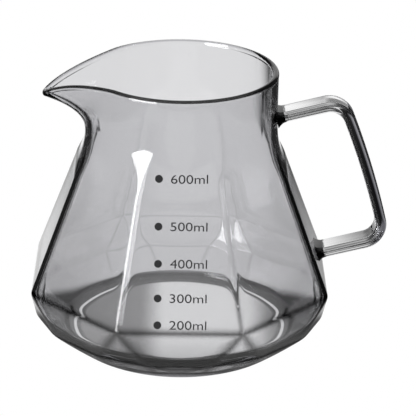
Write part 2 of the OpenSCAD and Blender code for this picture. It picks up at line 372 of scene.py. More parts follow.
@dataclass
class BlownBody:
    """The eight-sided body with its floor, neck, drawn spout and polished rim.

    Lengths are in mm and angles in degrees. Every radius to a flat is taken square to it.
    Marks say how much smoke the glass holds at a place. Above the plain smoked level they are
    painted shade: dark lines along the pressed edges and the rim, and darker lower and side
    walls. The ..._shade values are their strengths.
    """

    rim_z: float
    girdle_r: float
    girdle_z: float = 26.5
    break_r: float = 57.7
    break_z: float = 11.6
    foot_r: float = 45.95
    corner_foot_r: float = 45.3
    corner_break_r: float = 58.24
    base_r: float = 43.0
    heel_r: float = 3.0
    heel_angle: float = 37.0
    upright_r: float = 38.3
    upright_z: float = 83.4
    bend_r: float = 85.0
    neck_r: float = 38.0
    wall: float = 2.4
    floor_t: float = 6.0
    hollow_foot_r: float = 46.0
    hollow_heel: tuple[float, float] = (56.3, 15.0)
    bead_r: float = 1.3
    bead_steps: int = 26
    edge_soft: float = 0.28
    hollow_soft: float = 0.6
    ridge_soft_top: float = 1.5
    round_low_z: float = 72.0
    round_high_z: float = 97.5
    # Painted shade: strengths and widths of the dark lines along the pressed edges and the rim,
    # and of the darker lower and side walls.
    ridge_shade: float = 0.45
    front_edge_shade: float = 0.95
    back_edge_shade: float = 0.32
    front_shade_width: float = 0.8
    back_shade_width: float = 0.3
    corner_wide: float = 1.8
    low_shade: float = 0.04
    side_shade: float = 0.09
    side_shade_x: tuple[float, float] = (15.0, 50.0)
    heel_mark_z: float = 3.0
    rim_shade: float = 1.0
    back_rim_shade: float = 0.6
    rim_shade_turn: tuple[float, float] = (12.0, 144.0)
    rim_shade_fade: float = 10.0
    ridge_soft_low_z: float = 70.0
    ridge_soft_high_z: float = 93.0
    spout_angle: float = 43.9
    spout_root_z: float = 80.0
    spout_reach: float = 53.46
    spout_dip: float = 9.45
    spout_flow_shares: tuple[float, float, float] = (0.837, 0.827, 0.292)
    spout_nose_shares: tuple[float, float] = (0.186, 1.08)
    spout_rise: float = 2.2
    spout_sink: float = 2.9
    follow_z: tuple[float, float] = (83.0, 91.0)
    flat_steps: int = 8
    corner_steps: int = 6
    dive_steps: tuple[int, ...] = (14, 14, 12, 18)
    row_stops: tuple[float, ...] = (33, 73, 89, 101)
    row_steps: tuple[int, ...] = (12, 14, 14, 30, 10)
    least_cos: float = 0.05
    ridge_reach: float = 3.2
    least_turn: float = 5.0
    sides: int = 8

    # In the list that walls() returns, the two upper flats come first, and the corner facets
    # come after all six flats.
    UPPER_FLATS = 2
    ALL_FLATS = 6

    @property
    def turn(self) -> float:
        """Angle from one flat to the next, in radians."""
        return 2 * math.pi / self.sides

    @property
    def middle_r(self) -> float:
        """Radius of the middle of the neck's wall."""
        return self.neck_r - self.wall / 2

    @property
    def foot_slope(self) -> float:
        """Outward slope of the flats at the foot, mm per mm of height."""
        return (self.break_r - self.foot_r) / self.break_z

    @property
    def lean(self) -> float:
        """Inward slope of the upper flats, mm per mm of height."""
        return (self.girdle_r - self.upright_r) / (self.upright_z - self.girdle_z)

    def upper_flat(self, z: np.ndarray) -> np.ndarray:
        """Distance of an upper flat from the axis: leaning, then bent upright.

        Args:
            z: heights.

        Returns:
            The flat's distance at each height.
        """
        angle = math.atan(self.lean)
        half = self.bend_r * math.tan(angle / 2)
        top, low = self.upright_z + half, self.upright_z - half * math.cos(angle)
        leaning = self.girdle_r - (z - self.girdle_z) * self.lean
        inside = np.clip(self.bend_r ** 2 - (top - z) ** 2, 0, None)
        bent = self.upright_r + self.bend_r - np.sqrt(inside)
        return np.where(z < low, leaning, np.where(z < top, bent, self.upright_r))

    def roundness(self, z: np.ndarray) -> np.ndarray:
        """How far the eight flats have melted into the round neck at a height, 0 to 1."""
        return ramp_up(z, self.round_low_z, self.round_high_z)

    def ridge_softness(self, z: np.ndarray, least: float) -> np.ndarray:
        """Rounding of the ridges: crisp below, melting into the neck above."""
        rise = ramp_up(z, self.ridge_soft_low_z, self.ridge_soft_high_z)
        return least + (self.ridge_soft_top - least) * rise ** 2

    def fold(self, angle: np.ndarray) -> np.ndarray:
        """Return angles round the axis as angles from the middle of the nearest flat."""
        half = self.turn / 2
        return np.abs((angle + half) % self.turn - half)

    def flat_lines(self, z: np.ndarray, inset: float) -> tuple[np.ndarray, np.ndarray]:
        """Distances of the two rows of lower flats from the axis.

        Args:
            z: heights.
            inset: how far the flats are moved towards the axis.

        Returns:
            The distances of the row at the foot and of the row under the girdle.
        """
        slope = (self.girdle_r - self.break_r) / (self.girdle_z - self.break_z)
        low = self.break_r + (z - self.break_z) * slope
        return self.foot_r + z * self.foot_slope - inset, low - inset

    def corner_lines(self, z: np.ndarray, inset: float) -> tuple[np.ndarray, np.ndarray]:
        """Distances of the two rows of corner facets from the axis.

        Args:
            z: heights.
            inset: how far the facets are moved towards the axis.

        Returns:
            The distances of the row at the foot and of the row under the girdle.
        """
        foot = self.corner_foot_r + (self.corner_break_r - self.corner_foot_r) * z / self.break_z
        girdle_corner = self.girdle_r / math.cos(self.turn / 2)
        slope = (girdle_corner - self.corner_break_r) / (self.girdle_z - self.break_z)
        low = self.corner_break_r + slope * (z - self.break_z)
        return foot - inset, low - inset

    def outside(
        self, r: np.ndarray, angle: np.ndarray, z: np.ndarray, inset: float, soft: float
    ) -> np.ndarray:
        """Signed distance from the pressed wall, its flats and corners drawn in by an inset.

        Args:
            r: radius from the axis.
            angle: angle from the middle of the nearest flat, in radians, 0 to half a turn.
            z: height.
            inset: how far the flats are moved towards the axis.
            soft: rounding of the edges.

        Returns:
            The distance, positive outside.
        """
        walls = self.walls(r, angle, z, inset)
        ridge = soft_most([walls[0], walls[1]], self.ridge_softness(z, soft))
        return soft_most([ridge, *walls[2:]], soft)

    def walls(
        self, r: np.ndarray, angle: np.ndarray, z: np.ndarray, inset: float
    ) -> list[np.ndarray]:
        """Signed distances from the planes that meet near a place.

        Args:
            r: radius from the axis.
            angle: angle from the middle of the nearest flat, in radians.
            z: height.
            inset: how far the planes are moved towards the axis.

        Returns:
            A distance for each plane: two upper flats, four lower ones, then the corners.
        """
        near, far = r * np.cos(angle), r * np.cos(self.turn - angle)
        lean_cos = math.cos(math.atan(self.lean))
        upper = self.upper_flat(z) - inset
        foot, low = self.flat_lines(z, inset)
        foot_cos = math.cos(math.atan(self.foot_slope))
        planes = [(near - upper) * lean_cos, (far - upper) * lean_cos,
                  near - low, far - low, (near - foot) * foot_cos, (far - foot) * foot_cos]
        corner_foot, corner_low = self.corner_lines(z, inset)
        for across in (r * np.cos(self.turn / 2 - angle), r * np.cos(self.turn / 2 + angle)):
            planes += [(across - corner_foot) * foot_cos, across - corner_low]
        return planes

    def smoke_and_shade_marks(self, points: np.ndarray) -> np.ndarray:
        """Smoke and painted shade at each point of the outside: 0 clear, 0.5 smoked, 1 a dark
        edge.

        The walls are smoked and the underside is clear. Painted shade darkens them along the
        pressed edges, more in front than at the back, and fades away up the ridges.

        Args:
            points: rows by columns by x, y, z, without the spout.

        Returns:
            Rows by columns of marks.
        """
        x, y, z = points[:, :, 0], points[:, :, 1], points[:, :, 2]
        folded = self.fold(np.arctan2(y, x))
        planes = np.array(self.walls(np.hypot(x, y), folded, z, 0.0))
        ranks = np.argsort(planes, axis=0)
        first = np.take_along_axis(planes, ranks[-1:], axis=0)[0]
        second = np.take_along_axis(planes, ranks[-2:-1], axis=0)[0]
        fading = 1 - ramp_up(z, self.girdle_z, self.upright_z)
        in_front = y < 0
        on_ridge = (ranks[-1] < self.UPPER_FLATS) & (ranks[-2] < self.UPPER_FLATS)
        strength = np.where(in_front, self.front_edge_shade, self.back_edge_shade)
        strength = np.where(on_ridge, self.ridge_shade * fading, strength)
        strength = np.where(z < self.heel_mark_z, 0.0, strength)
        at_corner = (ranks[-1] >= self.ALL_FLATS) | (ranks[-2] >= self.ALL_FLATS)
        front_width = self.front_shade_width * np.where(at_corner, self.corner_wide, 1.0)
        width = np.where(in_front, front_width, self.back_shade_width)
        # Painted shade: dark lines along the pressed edges, stronger in front than at the back.
        edge = strength * np.exp(-((first - second) / width) ** 2)
        # Painted shade: the lower walls and the sides are darker.
        low = (self.low_shade + self.side_shade * ramp_up(np.abs(x), *self.side_shade_x)) * fading
        return np.maximum(SMOKED + low, SMOKED * (1 + edge)) * smooth(z / self.heel_r)

    def outer_gap(self, r: np.ndarray, angle: np.ndarray, z: np.ndarray) -> np.ndarray:
        """Signed distance from the whole outside, without the spout.

        Args:
            r: radius from the axis.
            angle: angle from the middle of the nearest flat, in radians.
            z: height.

        Returns:
            The distance, positive outside.
        """
        heel = math.radians(self.heel_angle)
        heel_x = self.base_r + self.heel_r * math.sin(heel)
        heel_z = self.heel_r * (1 - math.cos(heel))
        cone = math.sin(heel) * (r - heel_x) - math.cos(heel) * (z - heel_z)
        low = soft_most([self.outside(r, angle, z, 0.0, self.edge_soft), cone, -z], self.edge_soft)
        return low + (r - self.neck_r - low) * self.roundness(z)

    def hollow_gap(self, r: np.ndarray, angle: np.ndarray, z: np.ndarray) -> np.ndarray:
        """Signed distance from the hollow, without the spout.

        Args:
            r: radius from the axis.
            angle: angle from the middle of the nearest flat, in radians.
            z: height.

        Returns:
            The distance, positive in the glass.
        """
        (heel_r, heel_z), foot_z = self.hollow_heel, self.floor_t
        run, rise = heel_r - self.hollow_foot_r, heel_z - foot_z
        length = math.hypot(run, rise)
        cone = (rise * (r - self.hollow_foot_r) - run * (z - foot_z)) / length
        wall = self.outside(r, angle, z, self.wall, self.hollow_soft)
        low = soft_most([wall, cone, foot_z - z], self.edge_soft)
        return low + (r - self.neck_r + self.wall - low) * self.roundness(z)

    def column_angles(self, z: np.ndarray, inset: float, soft: float) -> np.ndarray:
        """Angles of the columns at each height, gathered along the ridges and the corner edges.

        Args:
            z: heights of the rows.
            inset: how far the wall is drawn in.
            soft: rounding of the edges.

        Returns:
            Rows by columns of angles, in radians, the first at the middle of a flat.
        """
        half = self.turn / 2
        ratio = np.minimum(*self.corner_lines(z, inset)) / np.minimum(*self.flat_lines(z, inset))
        edge = np.arctan((ratio - math.cos(half)) / math.sin(half))
        reach = self.ridge_reach * self.ridge_softness(z, soft) / math.tan(half)
        ridge = half - np.clip(reach / self.girdle_r, 0, half / 2)
        edge = np.clip(np.minimum(edge, ridge), math.radians(self.least_turn), None)
        flat = np.sin(np.linspace(0, math.pi / 2, self.flat_steps + 1))[:-1]
        corner = np.linspace(0, 1, self.corner_steps + 1)
        half_row = np.concatenate(
            [edge[:, None] * flat, edge[:, None] + (half - edge)[:, None] * corner], axis=1)
        sector = np.concatenate([half_row, self.turn - half_row[:, -2:0:-1]], axis=1)
        turns = [sector + self.turn * i for i in range(self.sides)]
        return np.concatenate(turns, axis=1)

    def solve(
        self, gap: Gap, origin_z: np.ndarray, dive: np.ndarray, angles: np.ndarray
    ) -> np.ndarray:
        """Find where rays from the axis meet a surface.

        Args:
            gap: signed distance of the surface, of radius, angle and height.
            origin_z: height at which each row's rays leave the axis.
            dive: downward angle of each row's rays, in radians.
            angles: rows by columns of angles round the axis.

        Returns:
            Rows by columns by x, y, z.
        """
        folded = self.fold(angles)
        low = np.zeros_like(angles)
        high = np.full_like(angles, 2 * self.girdle_r)
        flat, down = np.cos(dive)[:, None], np.sin(dive)[:, None]
        for _ in range(HALVINGS):
            middle = (low + high) / 2
            outside = gap(middle * flat, folded, origin_z[:, None] - middle * down) > 0
            high = np.where(outside, middle, high)
            low = np.where(outside, low, middle)
        r = (low + high) / 2
        return np.stack([r * flat * np.cos(angles), r * flat * np.sin(angles),
                         origin_z[:, None] - r * down], axis=2)

    def wall_rows(
        self, gap: Gap, inset: float, soft: float, floor_z: float, top: float
    ) -> np.ndarray:
        """Rows of points on the outside or the hollow, from the middle of the floor up.

        Args:
            gap: signed distance of the surface.
            inset: how far the wall is drawn in.
            soft: rounding of the edges.
            floor_z: height of the surface's floor.
            top: height of the last row.

        Returns:
            Rows by columns by x, y, z.
        """
        depth = self.girdle_z - floor_z
        foot_r = self.base_r if inset == 0 else self.hollow_foot_r
        heel = math.atan2(depth, foot_r)
        crease = math.atan2(self.girdle_z - self.break_z, self.break_r)
        stops = [math.pi / 2, heel, (heel + crease) / 2, crease, 0.0]
        dive = spread(stops, self.dive_steps)[:-1]
        upright = spread([self.girdle_z, *self.row_stops, top], self.row_steps)
        origin = np.concatenate([np.full(len(dive), self.girdle_z), upright])
        dive = np.concatenate([dive, np.zeros(len(upright))])
        run = np.sin(dive) * self.break_r / np.maximum(np.cos(dive), self.least_cos)
        angles = self.column_angles(origin - np.minimum(run, depth), inset, soft)
        return self.solve(gap, origin, dive, angles)

    def lip(self, share: np.ndarray) -> np.ndarray:
        """Middle of the lip, from where it leaves the rim to the tip.

        Args:
            share: how far along the lip, 0 to 1.

        Returns:
            The reach, the half width and the drop at each share.
        """
        angle = math.radians(self.spout_angle)
        start = self.middle_r * np.array([math.cos(angle), math.sin(angle), 0.0])
        run = self.spout_reach - start[0]
        out, narrow, fall = self.spout_flow_shares
        flow = np.array([start[0] + run * out, start[1] * (1 - narrow), self.spout_dip * fall])
        nose = np.array([self.spout_reach, start[1] * self.spout_nose_shares[0],
                         self.spout_dip * self.spout_nose_shares[1]])
        tip = np.array([self.spout_reach, 0.0, self.spout_dip])
        t = np.asarray(share)[..., None]
        return (start * (1 - t) ** 3 + flow * 3 * t * (1 - t) ** 2
                + nose * 3 * t * t * (1 - t) + tip * t ** 3)

    def draw_spout(self, points: np.ndarray, edge_z: float) -> np.ndarray:
        """Draw the neck's wall out into the spout.

        Args:
            points: rows by columns by x, y, z on the outside.
            edge_z: height of the neck's edge, under the bead.

        Returns:
            The points, those beside the spout moved.
        """
        angle = np.arctan2(points[:, :, 1], -points[:, :, 0])
        share = np.clip(1 - np.abs(angle) / math.radians(self.spout_angle), 0, None)
        lip = self.lip(share)
        side = np.sign(angle)
        rise = np.clip((points[:, :, 2] - self.spout_root_z) / (edge_z - self.spout_root_z), 0, 1)
        pull = smooth(rise ** self.spout_rise)
        drawn = points.copy()
        drawn[:, :, 0] -= (lip[:, :, 0] - self.middle_r * np.cos(angle)) * pull
        drawn[:, :, 1] += (side * lip[:, :, 1] - self.middle_r * np.sin(angle)) * pull
        drawn[:, :, 2] -= lip[:, :, 2] * rise ** self.spout_sink
        return np.where(share[:, :, None] > 0, drawn, points)

    def normals(self, points: np.ndarray) -> np.ndarray:
        """Outward unit normals of a sheet of points.

        Args:
            points: rows by columns by x, y, z.

        Returns:
            A normal for each point, square to the lines between its neighbours.
        """
        across = np.roll(points, -1, axis=1) - np.roll(points, 1, axis=1)
        along = np.gradient(points, axis=0)
        cross = np.cross(across, along)
        length = np.linalg.norm(cross, axis=2, keepdims=True)
        return cross / np.maximum(length, LEAST_LENGTH)

    def surface(self) -> tuple[np.ndarray, np.ndarray]:
        """All rows of the body, from the base over the bead to the hollow's floor.

        Returns:
            Rows by columns by x, y, z, and rows by columns of marks.
        """
        bead_lift = math.sqrt(self.bead_r ** 2 - (self.wall / 2) ** 2)
        edge_z = self.rim_z - self.bead_r - bead_lift
        outer = self.wall_rows(self.outer_gap, 0.0, self.edge_soft, 0.0, edge_z)
        hollow = self.wall_rows(self.hollow_gap, self.wall, self.hollow_soft, self.floor_t, edge_z)
        plain = outer.copy()
        outer = self.draw_spout(outer, edge_z)
        followed = outer - self.normals(outer) * self.wall
        taken = ramp_up(plain[:, :, 2:3], *self.follow_z)
        hollow = hollow * (1 - taken) + followed * taken
        middle = (outer[-1] + hollow[-1]) / 2
        out = outer[-1] - hollow[-1]
        thick = np.linalg.norm(out, axis=1, keepdims=True)
        out = out / thick
        run = np.roll(middle, -1, axis=0) - np.roll(middle, 1, axis=0)
        up = np.cross(out, run)
        up = up / np.linalg.norm(up, axis=1, keepdims=True)
        lift = np.sqrt(np.clip(self.bead_r ** 2 - (thick / 2) ** 2, 0, None))
        centre = middle + up * lift
        start = -np.arctan2(lift, thick / 2)
        bead, bead_marks = [], []
        # Painted shade: the top and inner side of the bead darken towards the edge colour, less at
        # the back.
        first, last = self.rim_shade_turn
        for share in np.linspace(0, 1, self.bead_steps)[1:-1]:
            turn = start + (math.pi - 2 * start) * share
            bead.append(centre + self.bead_r * (np.cos(turn) * out + np.sin(turn) * up))
            on_top = smooth((np.degrees(turn) - first) / self.rim_shade_fade)
            on_top = on_top * smooth((last - np.degrees(turn)) / self.rim_shade_fade)
            on_top = on_top * np.where(centre[:, 1:2] > 0, self.back_rim_shade, 1.0)
            plain_mark = SMOKED * (1 - share)
            bead_marks.append(plain_mark + (self.rim_shade - plain_mark) * on_top[:, 0])
        rows = np.concatenate([outer, np.array(bead), hollow[::-1]], axis=0)
        clear = np.zeros(hollow.shape[:2])
        return rows, np.concatenate([self.smoke_and_shade_marks(plain), np.array(bead_marks), clear], axis=0)

    def front(self, x: np.ndarray, z: np.ndarray) -> np.ndarray:
        """Depth of the front facet's outside.

        Args:
            x: places across the facet.
            z: heights.

        Returns:
            The outside's y at each place.
        """
        near, far = np.zeros_like(x), np.full_like(x, 2 * self.girdle_r)
        for _ in range(HALVINGS):
            middle = (near + far) / 2
            folded = self.fold(np.arctan2(np.abs(x), middle))
            out = self.outer_gap(np.hypot(x, middle), folded, z) > 0
            far = np.where(out, middle, far)
            near = np.where(out, near, middle)
        return -(near + far) / 2

    def build(self, material: bpy.types.Material) -> bpy.types.Object:
        """Model the body and dress it.

        Args:
            material: the smoked glass.

        Returns:
            The finished piece.
        """
        piece = rolled_sheet("blown_body", *self.surface())
        even_shading(piece)
        hand_over(piece, Slot.SMOKED, material, "glass_body")
        return piece


@dataclass
class Handle:
    """The bent bar of solid glass and the fused glass at its two ends.

    Lengths are in mm, slopes in degrees, and places in the handle's plane are x and z.
    """

    top_corner: tuple[float, float] = (63.6, 101.2)
    low_corner: tuple[float, float] = (82.7, 43.45)
    top_slope: float = 14.6
    low_slope: float = 14.6
    bend_r: float = 8.3
    grip_bow: float = 1.0
    width: float = 10.8
    thickness: float = 4.3
    edge_r: float = 1.6
    edge_steps: int = 12
    bend_steps: int = 40
    run_steps: int = 24
    weld_len: float = 2.8
    weld_spread: float = 1.6
    weld_steps: int = 8
    weld_sink_share: float = 0.25
    # Where the painted shade on the grip starts and is full, along the bar and over its section.
    arm_rise: float = 0.27
    grip_rise: float = 0.7
    clear_over: float = -1.5
    shaded_over: float = -0.2

    def section(self, grow: float = 0.0) -> np.ndarray:
        """Outline of the bar.

        Args:
            grow: margin added all round.

        Returns:
            Points as across the bar and over it, all round.
        """
        across, over = self.width / 2 + grow, self.thickness / 2 + grow
        r = self.edge_r + grow / 2
        points = []
        for quarter in range(4):
            sign_a = 1 if quarter in (0, 3) else -1
            sign_o = 1 if quarter < 2 else -1
            for i in range(self.edge_steps + 1):
                turn = math.radians(90) * (quarter + i / self.edge_steps)
                points.append((sign_a * (across - r) + r * math.cos(turn),
                               sign_o * (over - r) + r * math.sin(turn)))
        return np.array(points)

    def smoke_and_painted_shade(self, ways: np.ndarray) -> np.ndarray:
        """Painted shade on the clear bar: a dark film on the grip's outer side, the arms and the
        grip's inner side left clear.

        Args:
            ways: unit directions along the bar, as x and z.

        Returns:
            Rows by columns of 0 to 0.5, as the rings lie.
        """
        grip = ramp_up(np.abs(ways[:, 1]), self.arm_rise, self.grip_rise)
        outer = ramp_up(self.section()[:, 1], self.clear_over, self.shaded_over)
        return SMOKED * np.concatenate([[0.0], grip, [0.0]])[:, None] * outer

    def path(self, body: BlownBody) -> tuple[np.ndarray, np.ndarray]:
        """Centre line of the bar from the upper weld to the lower one, and its directions.

        Args:
            body: the body that the handle is fused to.

        Returns:
            Points and unit directions in the plane of the handle, as x and z.
        """
        top, low = np.array(self.top_corner), np.array(self.low_corner)
        top_dir, low_dir = self.rising(self.top_slope), self.rising(self.low_slope)
        start = self.seat(body, top, top_dir) + top_dir * self.weld_len
        end = self.seat(body, low, low_dir) + low_dir * self.weld_len
        run = low - top
        out = np.array([-run[1], run[0]]) / np.linalg.norm(run)
        apex = (top + low) / 2 + out * 2 * self.grip_bow
        points, ways = [start], [top_dir]
        for before, corner, after in ((start, top, apex), (apex, low, end)):
            way_in = (corner - before) / np.linalg.norm(corner - before)
            way_out = (after - corner) / np.linalg.norm(after - corner)
            turn = math.acos(float(np.clip(way_in @ way_out, -1, 1)))
            setback = self.bend_r * math.tan(turn / 2)
            side = np.array([way_in[1], -way_in[0]])
            first = corner - way_in * setback
            centre = first + side * self.bend_r
            last, last_way = points[-1], ways[-1]
            reach = np.linalg.norm(first - last)
            for i in range(1, self.run_steps):
                share = i / self.run_steps
                way = last_way * (1 - share) + way_in * share
                bow = (last + last_way * reach / 2) * 2 * share * (1 - share)
                points.append(last * (1 - share) ** 2 + bow + first * share ** 2)
                ways.append(way / np.linalg.norm(way))
            for i in range(self.bend_steps + 1):
                a = turn * i / self.bend_steps
                way = way_in * math.cos(a) + side * math.sin(a)
                out = -side * math.cos(a) + way_in * math.sin(a)
                points.append(centre + out * self.bend_r)
                ways.append(way)
        last = points[-1]
        for i in range(1, self.run_steps + 1):
            points.append(last + (end - last) * i / self.run_steps)
            ways.append(-low_dir)
        return np.array(points), np.array(ways)

    def rising(self, slope: float) -> np.ndarray:
        """Unit direction, as x and z, that rises outwards by a slope in degrees."""
        return np.array([math.cos(math.radians(slope)), math.sin(math.radians(slope))])

    def seat(self, body: BlownBody, corner: np.ndarray, way: np.ndarray) -> np.ndarray:
        """Find where an arm's centre line meets the glass wall.

        Args:
            body: the body that the arm is fused to.
            corner: the arm's outer corner.
            way: unit direction of the arm, outwards.

        Returns:
            The place on the wall.
        """
        low, high = 0.0, corner[0]
        for _ in range(HALVINGS):
            middle = (low + high) / 2
            x, z = corner - way * middle
            outside = body.outer_gap(np.array(x), np.array(0.0), np.array(z)) > 0
            low, high = (middle, high) if outside else (low, middle)
        return corner - way * low

    def rings(self, points: np.ndarray, ways: np.ndarray, grows: np.ndarray) -> np.ndarray:
        """Rings of the bar's section set square to a path, with closed ends.

        Args:
            points: the path, as x and z.
            ways: its unit directions.
            grows: margin of the section at each point.

        Returns:
            Rows by columns by x, y, z, with a point for the first and the last row.
        """
        rows = []
        for point, way, grow in zip(points, ways, grows):
            outline = self.section(float(grow))
            over = np.array([-way[1], way[0]])
            rows.append(np.stack([point[0] + outline[:, 1] * over[0], outline[:, 0],
                                  point[1] + outline[:, 1] * over[1]], axis=1))
        rows = [rows[0] * 0 + rows[0].mean(axis=0)] + rows + [rows[-1] * 0 + rows[-1].mean(axis=0)]
        return np.array(rows)

    def build(self, body: BlownBody, bar: bpy.types.Material, fused: bpy.types.Material) -> None:
        """Model the bar and its two welds and dress them.

        Args:
            body: the body that they are fused to.
            bar: the finish of the bar.
            fused: the finish of the welds.
        """
        points, ways = self.path(body)
        rings = self.rings(points, ways, np.zeros(len(points)))
        piece = rolled_sheet("bent_bar", rings, self.smoke_and_painted_shade(ways))
        even_shading(piece)
        hand_over(piece, Slot.BAR, bar, "handle")
        for name, node, point, way in (
            ("fused_top", "upper_weld", points[0], -ways[0]),
            ("fused_low", "lower_weld", points[-1], ways[-1]),
        ):
            shares = np.linspace(0, 1, self.weld_steps + 1)
            length = self.weld_len + body.wall * self.weld_sink_share
            run = point + way * length * shares[:, None]
            same_way = np.repeat(way[None], len(run), axis=0)
            rings = self.rings(run, same_way, self.weld_spread * shares ** 2)
            piece = rolled_sheet(name, rings)
            hand_over(piece, Slot.WELD, fused, node)


@dataclass
class VolumeScale:
    """The enamel gauge on the front facet: five dots with plain figures beside them.

    Lengths are in mm. Each height is that of the middle of a dot and its figures.
    """

    volumes: tuple[int, ...] = (200, 300, 400, 500, 600)
    heights: tuple[float, ...] = (29.65, 39.3, 51.75, 65.15, 82.36)
    dot_x: float = -8.6
    dot_r: float = 1.5
    dot_rings: int = 4
    dot_sides: int = 48
    text_x: float = -4.0
    digit_h: float = 3.4
    text_w: float = 14.2
    text_curve_steps: int = 6
    print_t: float = 0.1
    print_gap_share: float = 0.1
    lean_run: float = 1.0

    def lay_on(self, piece: bpy.types.Object, body: BlownBody, z: float, lean: float) -> None:
        """Lay a flat print on the facet: its y becomes height along the wall.

        Args:
            piece: a mesh in mm, flat in x and y, its z from 0 to the print's thickness.
            body: the body under the print.
            z: height of the print's middle.
            lean: slope of the wall there, mm per mm of height.
        """
        co = read_points(piece)
        climb = 1 / math.hypot(1, lean)
        x, height = co[:, 0], z + co[:, 1] * climb
        y = body.front(x, height)
        y = y - self.print_t * (self.print_gap_share + co[:, 2]) * climb
        placed = np.stack([x, y, height + self.print_t * co[:, 2] * lean * climb], axis=1)
        write_points(piece, placed * MM)

    def dot(self, x: float) -> bpy.types.Object:
        """Make a flat round dot of one unit's thickness.

        Args:
            x: its place across the facet.

        Returns:
            The dot, flat in x and y.
        """
        deselect()
        bpy.ops.mesh.primitive_circle_add(
            vertices=self.dot_sides, radius=self.dot_r, fill_type="NGON", location=(x, 0, 0)
        )
        piece = bpy.context.object
        bpy.ops.object.transform_apply(location=True, rotation=True, scale=True)
        bpy.ops.object.mode_set(mode="EDIT")
        bpy.ops.mesh.select_all(action="SELECT")
        for _ in range(self.dot_rings):
            bpy.ops.mesh.inset(thickness=self.dot_r / (self.dot_rings + 1))
        bpy.ops.mesh.poke()
        bpy.ops.mesh.select_all(action="SELECT")
        bpy.ops.mesh.extrude_region_move(TRANSFORM_OT_translate={"value": (0, 0, 1)})
        bpy.ops.mesh.select_all(action="SELECT")
        bpy.ops.mesh.normals_make_consistent(inside=False)
        bpy.ops.object.mode_set(mode="OBJECT")
        return piece

    def figure(self, text: str) -> bpy.types.Object:
        """Make plain figures of one unit's thickness, as tall and wide as the print.

        Args:
            text: the figures.

        Returns:
            The figures, flat in x and y, with their middle at a height of 0.
        """
        deselect()
        bpy.ops.object.text_add()
        words = bpy.context.object
        words.data.body = text
        # Half a unit to each side of the letters' plane.
        words.data.extrude = 0.5
        words.data.resolution_u = self.text_curve_steps
        bpy.ops.object.convert(target="MESH")
        piece = bpy.context.object
        co = read_points(piece)
        low, high = co.min(axis=0), co.max(axis=0)
        co[:, 0] = (co[:, 0] - low[0]) / (high[0] - low[0]) * self.text_w + self.text_x
        co[:, 1] = ((co[:, 1] - low[1]) / (high[1] - low[1]) - 0.5) * self.digit_h
        co[:, 2] = (co[:, 2] - low[2]) / (high[2] - low[2])
        write_points(piece, co)
        return piece

    def build(self, body: BlownBody, material: bpy.types.Material) -> None:
        """Print all dots and figures and dress them.

        Args:
            body: the body under the print.
            material: the enamel.
        """
        dots, figures = [], []
        for volume, z in zip(self.volumes, self.heights):
            below = body.upper_flat(np.array(z - self.lean_run))
            above = body.upper_flat(np.array(z + self.lean_run))
            lean = (below - above) / (2 * self.lean_run)
            dot = self.dot(self.dot_x)
            figure = self.figure(f"{volume}ml")
            for print_piece, group in ((dot, dots), (figure, figures)):
                self.lay_on(print_piece, body, z, float(lean))
                group.append(print_piece)
        for name, group, nodes in (("volume_dots_print", dots, ("volume_dots",)),
                                   ("volume_figures_print", figures, ())):
            deselect()
            for piece in group:
                piece.select_set(True)
            bpy.context.view_layer.objects.active = group[0]
            bpy.ops.object.join()
            group[0].name = name
            group[0].data.name = name
            hand_over(group[0], Slot.ENAMEL, material, *nodes)


